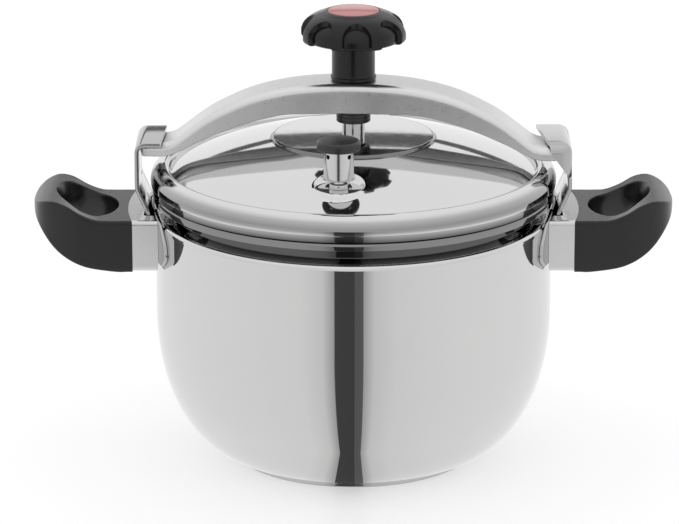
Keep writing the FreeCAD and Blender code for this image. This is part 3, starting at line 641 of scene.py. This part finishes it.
barrel_side = np.stack([np.full(70, BARREL_R), np.linspace(BARREL_LOW + 2.0, CAP_LOW - 1.0, 70)], 1)
barrel_line = filleted(np.concatenate([
    [(4.0, 238.0, 0), (4.0, BARREL_LOW, 0.4), (BARREL_R, BARREL_LOW, 1.0)], sharp(barrel_side),
    [(BARREL_R, CAP_LOW, 0.4), (2.6, CAP_LOW, 0.2), (2.6, 238.0, 0), (4.0, 238.0, 0)]]))
barrel_grid = turned(barrel_line, 216)
turn = np.arctan2(barrel_grid[..., 1], barrel_grid[..., 0])
across_hole = (np.mod(turn, math.pi / 2) - math.pi / 4) * BARREL_R
away = np.hypot(across_hole, barrel_grid[..., 2] - STEAM_HOLE_Z)
on_side = np.hypot(barrel_grid[..., 0], barrel_grid[..., 1]) > BARREL_R - 0.1
in_hole = on_side & (away < STEAM_HOLE_R)
barrel_grid[..., :2] *= np.where(in_hole, 0.72, 1.0)[..., None]
barrel_grid += (*VALVE_AT, 0)
# The insides of the steam holes are given painted shade.
fit(skin("valve_weight", barrel_grid, shade=in_hole), "valve", "valve_steel", valve_steel, "valve_barrel")

cap_line = filleted([(0, CAP_LOW + 2.1, 0), (2.6, CAP_LOW + 2.1, 0), (2.6, CAP_LOW, 0.3),
                     (CAP_R, CAP_LOW, 1.0), (CAP_R, 253.6, 1.6), (13.2, CAP_TOP - 0.5, 1.0), (0, CAP_TOP, 0)])
valve_black = finish("valve_black", (0.010, 0.010, 0.011), (0.015, 0.015, 0.016), (0.25, 0.36),
                     grain=1600.0, bump=0.04)
fit(skin("valve_cap_cover", turned(cap_line, 96, VALVE_AT)), "valve", "valve_black", valve_black, "valve_cap")
guide_plastic = finish("guide_plastic", (0.55, 0.54, 0.50), (0.50, 0.49, 0.46), (0.4, 0.5), grain=1500.0)
brass = finish("brass", (0.60, 0.42, 0.18), (0.52, 0.36, 0.15), (0.2, 0.32), 1.0, grain=1200.0)
paint(guide_plastic, "valve_bush")
paint(valve_steel, "valve_plug")
paint(brass, "vent_stem_nut", "safety_nut")


# Safety valve
# A turned housing on the rear platform. Inside it a coil spring holds down a pin, whose tip lifts through the
# housing's top.

SAFETY_R = 8.0
SAFETY_TOP = 236.0
SPRING_R = 3.2
SPRING_WIRE = 0.4
SPRING_LOW = 224.5
SPRING_TOP = 233.5
SPRING_TURNS = 6.0

housing_line = filleted([(2.4, 210.5, 0), (4.0, 210.5, 0.5), (4.0, SEAT_Z, 0), (SAFETY_R, SEAT_Z, 0.5),
                         (SAFETY_R, 226.5, 0.3), (SAFETY_R - 0.8, 227.2, 0.2), (SAFETY_R - 0.8, 228.2, 0.2),
                         (SAFETY_R, 228.9, 0.3), (SAFETY_R, SAFETY_TOP, 1.2), (1.6, SAFETY_TOP, 0.3),
                         (1.6, SAFETY_TOP - 2, 0), (5.0, SAFETY_TOP - 2, 0), (5.0, SEAT_Z + 1, 0),
                         (2.4, SEAT_Z + 1, 0), (2.4, 210.5, 0)])
safety_housing = skin("safety_housing", turned(housing_line, 96, -VALVE_AT))
fit(safety_housing, "lid", "valve_steel", valve_steel, "safety_body")


def coil(radius, wire, low, high, turns):
    """A round wire carried along a helix, whose first and last turns lie closed and flat. The wire's section
    is spanned by the outward direction and the upright."""
    t = np.linspace(0, turns, int(turns * 40))
    rise = np.interp(t, [0, 1, turns - 1, turns], [0, 0.12, 0.88, 1])
    z = low + wire + (high - low - 2 * wire) * rise
    a = 2 * math.pi * t[:, None]
    s = np.linspace(0, 2 * math.pi, 10, endpoint=False)
    around = radius + wire * np.cos(s)
    grid = np.stack([around * np.cos(a), around * np.sin(a), z[:, None] + wire * np.sin(s)], -1)
    ends = [np.repeat(row.mean(0, keepdims=True), len(s), 0)[None] for row in (grid[0], grid[-1])]
    return np.concatenate([ends[0], grid, ends[1]])


spring = coil(SPRING_R, SPRING_WIRE, SPRING_LOW, SPRING_TOP, SPRING_TURNS) - (*VALVE_AT, 0)
safety_coil = fit(skin("safety_coil", spring), "lid", "valve_steel", valve_steel, "safety_spring")
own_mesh(safety_coil)
paint(valve_steel, "safety_pin")


# Bridge
# An inverted channel pressed from one polished steel sheet and arched over the lid; its flat ends reach
# under the hooks. A blackened bush pressed into its crown carries the screw's thread.

BRIDGE_HALF = 18.75
BRIDGE_WALL = 2.5
BRIDGE_BEND = 5.0
BRIDGE_REACH = 147.0
BRIDGE_TURN = math.radians(-2.5)
BUSH_R = 12.0
SPINDLE_R = 6.0


def bridge():
    """Channel sections, each spanned across in y between the flanges' lower line and the crown's line, which
    are smooth lines of |x|. The outer skin runs one way and the inner skin, one wall inside, runs back."""
    reach = np.concatenate([-np.geomspace(BRIDGE_REACH, 4, 110), [0], np.geomspace(4, BRIDGE_REACH, 110)])
    reach = np.sort(np.concatenate([reach, np.linspace(-145, 145, 111)]))
    reach = reach[np.concatenate([[True], np.diff(reach) > 0.2])]
    reach[-1] = BRIDGE_REACH
    x = reach[:, None]
    top = through([(-31, 272.0), (0, 273.5), (31, 272.0), (53, 268.6), (74, 262.6), (95, 252.8), (106, 246.0),
                   (115, 239.2), (121, 234.6), (126, 231.1), (131, 229.4), (138, 229.0), (144, 229.0),
                   (150, 229.0)], abs(x))
    low = through([(-26, 252.2), (0, 252.5), (26, 252.2), (52, 250.4), (79.4, 242.8), (106, 231.8),
                   (120, 224.5), (128.5, 220.8), (136, 220.0), (143, 220.0), (150, 220.0)], abs(x))
    slope = np.gradient(top[:, 0], x[:, 0])[:, None]
    ceiling = top - BRIDGE_WALL * np.sqrt(1 + slope ** 2)
    turn = np.linspace(0, math.pi / 2, 9)
    rise = np.linspace(0, 1, 9)
    flat = np.linspace(-1, 1, 15)[1:-1]
    middle = BRIDGE_HALF - BRIDGE_WALL / 2

    def half_section(half, radius, roof):
        lip_y = -np.array([middle, half - (0.5 if half > middle else -0.5)])
        side_y = -half + radius - radius * np.cos(turn)
        y = np.concatenate([lip_y, np.full(9, -half), side_y])
        up = roof - radius
        edge = 0.4 + 0 * x
        z = np.concatenate([np.repeat(low, 2, 1), low + edge + (up - low - edge) * rise,
                            up + radius * np.sin(turn)], 1)
        return y, z

    skins = []
    for inset, roof in ((0, top), (BRIDGE_WALL, ceiling)):
        half = BRIDGE_HALF - inset
        radius = BRIDGE_BEND - inset
        y, z = half_section(half, radius, roof)
        y = np.concatenate([y, (half - radius) * flat, -y[::-1]])
        z = np.concatenate([z, np.repeat(roof, len(flat), 1), z[:, ::-1]], 1)
        skins.append(np.stack([x + 0 * y, y + 0 * x, z], -1))
    grid = np.concatenate([skins[0], skins[1][::-1]])
    c, s = math.cos(BRIDGE_TURN), math.sin(BRIDGE_TURN)
    return np.stack([c * grid[..., 0] - s * grid[..., 1], s * grid[..., 0] + c * grid[..., 1],
                     grid[..., 2]], -1)


bridge_steel = finish("bridge_steel", (0.70, 0.70, 0.70), (0.67, 0.67, 0.675), (0.27, 0.31), 1.0,
                      grain=380.0, stretch=(1, 8, 1), bump=0.003)
fit(skin("bridge_channel", np.swapaxes(bridge(), 0, 1)), "bridge", "bridge_steel", bridge_steel, "bridge_bar")

groove_r = BUSH_R - 0.6
grooves = [corner for low in (244.5, 247.0, 249.5) for corner in (
    (BUSH_R, low, 0), (groove_r, low, 0), (groove_r, low + 1.0, 0), (BUSH_R, low + 1.0, 0))]
bush_line = filleted([(SPINDLE_R + 0.1, 252.0, 0), (8.6, 252.0, 0), (8.6, 243.0, 0.2), (BUSH_R, 243.0, 0.4),
                      *grooves, (BUSH_R, 270.4, 0.2), (9.0, 270.4, 0), (9.0, 273.6, 0.5),
                      (SPINDLE_R + 0.1, 273.6, 0.3), (SPINDLE_R + 0.1, 252.0, 0)])
black_steel = finish("black_steel", (0.035, 0.035, 0.037), (0.05, 0.05, 0.052), (0.25, 0.4), 0.6,
                     grain=1200.0, stretch=(1, 1, 5), bump=0.05)
fit(skin("bridge_thread_bush", turned(bush_line, 96)), "bridge", "black_steel", black_steel, "bridge_bush")


# Knob
# A black phenolic knob with eight arched scallops for the fingers, moulded round a brass nut.
# A translucent red disc is pressed into its top.

KNOB_R = 37.5
KNOB_LOW = 301.0
NECK_KNOB_R = 15.2
INSERT_R = 18.0
SCALLOP = 10.0
SCALLOP_ARCH = 309.0
SCALLOP_DEPTH = 3.5
KNOB_TURN = math.radians(4)

knob_side = filleted([(NECK_KNOB_R, KNOB_LOW - 0.4, 0), (KNOB_R, KNOB_LOW, 3.6), (KNOB_R, KNOB_LOW + 5.0, 0)],
                     steps=12)
knob_side = resampled(knob_side[1:], 0.5)
knob_crown = resampled(np.concatenate([
    bezier((KNOB_R, KNOB_LOW + 6.0), (KNOB_R - 0.2, 311.8), (33.2, 317.8), (23.0, 320.9), 24),
    [(20.8, 321.8), (INSERT_R + 0.9, 322.4)]]), 0.45)
knob_line = filleted(np.concatenate([
    sharp([(0, 290), (SPINDLE_R + 0.05, 290), (SPINDLE_R + 0.05, 274.0)]),
    [(NECK_KNOB_R + 0.8, 274.0, 0.5), (NECK_KNOB_R + 0.8, 276.0, 0.4), (NECK_KNOB_R, 276.4, 0.3),
     (NECK_KNOB_R, KNOB_LOW - 0.4, 1.6), (24.0, KNOB_LOW - 0.2, 0)],
    sharp(knob_side), sharp(knob_crown),
    [(INSERT_R + 0.3, 322.4, 0.3), (INSERT_R + 0.3, 320.6, 0), (0, 320.6, 0)]]))
knob_grid = turned(knob_line, 720)
along = np.gradient(knob_line, axis=0)
out = np.stack([along[:, 1], np.maximum(-along[:, 0], 0)], 1)
out /= np.maximum(np.linalg.norm(out, axis=1), 1e-6)[:, None]
r = np.hypot(knob_grid[..., 0], knob_grid[..., 1])
turn = np.arctan2(knob_grid[..., 1], knob_grid[..., 0])
off_axis = r * np.sin(np.mod(turn - KNOB_TURN + math.pi / 8, math.pi / 4) - math.pi / 8)
above = np.maximum(knob_grid[..., 2] - SCALLOP_ARCH, 0)
inside = SCALLOP - np.hypot(off_axis, above)
sink = np.clip(inside / 0.55 + 0.5, 0, 1)
sink = SCALLOP_DEPTH * sink * sink * (3 - 2 * sink) * (r > 19.5) * (knob_grid[..., 2] > KNOB_LOW - 0.3)
shrunk = (r - sink * out[:, :1]) / np.maximum(r, 1e-6)
knob_grid[..., :2] *= shrunk[..., None]
knob_grid[..., 2] -= sink * out[:, 1:]
knob_black = finish("knob_black", (0.004, 0.004, 0.0045), (0.006, 0.006, 0.0065), (0.18, 0.26), grain=1400.0,
                    bump=0.03, IOR=1.38)
fit(skin("knob_grip", knob_grid), "knob", "black_phenolic", knob_black, "knob_head")

insert_line = filleted([(0, 320.7, 0), (INSERT_R, 320.7, 0), (INSERT_R, 322.6, 0.5), (0, 323.0, 0)])
red_insert = finish("red_insert", (0.42, 0.07, 0.075), (0.48, 0.10, 0.10), (0.16, 0.26),
                    grain=1500.0, bump=0.02, Coat_Weight=0.3)
fit(skin("knob_disc", turned(insert_line, 96)), "knob", "red_insert", red_insert, "knob_insert")


# Spindle
# The steel screw that lifts and lowers the bridge. Its foot turns in a cup welded to the plateau, where a
# spring ring keeps it; its rolled thread has a 3 mm pitch.

PITCH = 3.0
THREAD_DEPTH = 0.9

foot_z = PLATEAU_Z + 1.4
screw_z = np.arange(244.0, 300.0, 0.25)
shank_r = SPINDLE_R - 0.1
screw_line = np.concatenate([
    [(0, foot_z), (5.2, foot_z), (shank_r, foot_z + 0.8), (shank_r, 238.0), (4.6, 238.05), (4.6, 238.95),
     (shank_r, 239.0), (shank_r, 243.5)],
    np.stack([np.full(len(screw_z), SPINDLE_R), screw_z], 1),
    [(shank_r, 301.0), (shank_r, 312.0), (0, 312.0)]])
screw_grid = turned(screw_line, 72)
turn = np.arctan2(screw_grid[..., 1], screw_grid[..., 0])
z = screw_grid[..., 2]
wave = np.abs(np.mod(z / PITCH - turn / (2 * math.pi), 1) * 2 - 1)
wave = np.clip(wave * 1.5 - 0.25, 0, 1)
fade = np.clip((z - 243.5) / 2, 0, 1) * np.clip((300.5 - z) / 2, 0, 1)
screw_grid[..., :2] *= (1 - THREAD_DEPTH / SPINDLE_R * wave * fade)[..., None]
fit(skin("screw_spindle", screw_grid), "knob", "screw_steel", screw_steel, "spindle")
paint(brass, "knob_nut")
paint(screw_steel, "spindle_ring")
paint(valve_steel, "spindle_cup")


# Studio
# A pale floor that glows a little to soften shadows, and a camera that looks down a little. Only reflections
# see the two sheets of light: a domed tent, and one on the floor with a dark gap in front.

def backdrop(name, points, faces):
    """A flat-sided piece of the studio, in metres."""
    mesh = bpy.data.meshes.new(name)
    mesh.from_pydata(points, [], faces)
    piece = bpy.data.objects.new(name, mesh)
    bpy.context.scene.collection.objects.link(piece)
    return piece


FLOOR = 40.0
floor = backdrop("floor", [(-FLOOR, -FLOOR, 0), (FLOOR, -FLOOR, 0), (FLOOR, FLOOR, 0), (-FLOOR, FLOOR, 0)],
                 [(0, 1, 2, 3)])
floor_paper = finish("floor_paper", (0.50, 0.50, 0.50), (0.48, 0.48, 0.48), (0.7, 0.8), grain=600.0,
                     Emission_Color=(1, 1, 1, 1), Emission_Strength=0.5)
floor.data.materials.append(floor_paper)

TENT_R = 3.6
# How bright the floor's light is, by its direction in degrees from the front.
GLOW_TURN = [-180, -60, -30, -18, -10.9, -10.8, 0.6, 0.7, 5.7, 5.8, 12, 25, 60, 180]
GLOW = [1.0, 1.0, 0.95, 0.84, 0.48, 0.075, 0.07, 0.13, 0.14, 0.50, 0.82, 0.93, 1.0, 1.0]


def lit(name, points, glow):
    """A sheet of soft light that only reflections see: a grid of points, each with its own brightness."""
    rows, columns = glow.shape
    i, j = [k.ravel() for k in np.meshgrid(np.arange(rows - 1), np.arange(columns - 1), indexing="ij")]
    at = i * columns + j
    cells = np.stack([at, at + 1, at + columns + 1, at + columns], 1)
    sheet = backdrop(name, points.reshape(-1, 3).tolist(), cells.tolist())
    layer = sheet.data.attributes.new("glow", "FLOAT", "POINT")
    layer.data.foreach_set("value", glow.ravel().astype(np.float32))
    light = bpy.data.materials.new(name)
    light.use_nodes = True
    nodes, links = light.node_tree.nodes, light.node_tree.links
    nodes.remove(nodes["Principled BSDF"])
    emission = nodes.new("ShaderNodeEmission")
    reading = nodes.new("ShaderNodeAttribute")
    reading.attribute_name = "glow"
    links.new(reading.outputs["Fac"], emission.inputs["Strength"])
    links.new(emission.outputs["Emission"], nodes["Material Output"].inputs["Surface"])
    sheet.data.materials.append(light)
    sheet.visible_camera = False
    sheet.visible_shadow = False
    sheet.visible_diffuse = False


# The tent is a little dimmer low in front, and a narrow dark gap runs low across its back.
turn = np.radians(np.sort(np.concatenate([np.linspace(-180, 180, 241), GLOW_TURN[1:-1]])))
lift = np.radians([0.1, 6, 14, 18.6, 19, 22, 22.4, 30, 36, 42, 48, 56, 66, 78, 89])[:, None]
front = np.interp(np.abs(np.degrees(turn)), [0, 70, 120, 180], [1, 1, 0, 0])
back = np.interp(np.abs(np.degrees(turn)), [0, 150, 155, 180], [0, 0, 1, 1])
dim = np.interp(np.degrees(lift), [0, 14, 36, 60, 75], [0.85, 0.88, 0.95, 1.05, 1.1])
gap = np.interp(np.degrees(lift), [18.6, 19, 22, 22.4], [0, 0.88, 0.88, 0])
bright = (1 + (dim - 1) * front) * (1 - gap * back)
flat = TENT_R * np.cos(lift)
tent_points = np.stack([flat * np.sin(turn), -flat * np.cos(turn), TENT_R * np.sin(lift) + 0 * turn], -1)
lit("light_tent", tent_points, bright)

# What the polished wall sees of the floor. Each line of points starts under the pot, runs straight forward to
# the wall at half its turn, and then goes the way in which the wall there reflects a level view.
reach = np.array([-0.14, 0.0, 0.1, 0.3, 0.6, 1.2, 2.5])[:, None]
beyond = np.maximum(reach, 0)
ring = POT_R * MM
floor_points = np.stack([ring * np.sin(turn / 2) + beyond * np.sin(turn),
                         -ring * np.cos(turn / 2) - beyond * np.cos(turn) + beyond - reach,
                         0.001 + 0 * reach * turn], -1)
floor_glow = np.interp(np.degrees(turn), GLOW_TURN, GLOW)
# A little of the light is taken away, and more of it in front than behind.
floor_glow *= np.interp(np.abs(np.degrees(turn)), [60, 120], [0.93, 0.98])
lit("floor_light", floor_points, floor_glow + 0 * reach)

world = bpy.data.worlds.new("studio")
world.use_nodes = True
world.node_tree.nodes["Background"].inputs["Color"].default_value = (1, 1, 1, 1)
world.node_tree.nodes["Background"].inputs["Strength"].default_value = 1.0
bpy.context.scene.world = world
bpy.context.scene.view_settings.view_transform = "Standard"

CAMERA_FAR = 3.0
CAMERA_TILT = math.radians(17.1)
AIM_Z = 0.1357
camera = bpy.data.objects.new("camera", bpy.data.cameras.new("camera"))
camera.location = (0, -CAMERA_FAR * math.cos(CAMERA_TILT), AIM_Z + CAMERA_FAR * math.sin(CAMERA_TILT))
camera.rotation_euler = (math.pi / 2 - CAMERA_TILT, 0, 0)
camera.data.lens = 224.0
camera.data.sensor_width = 36.0
camera.data.shift_x = -0.0205
camera.data.shift_y = 0.0062
bpy.context.scene.collection.objects.link(camera)
bpy.context.scene.camera = camera
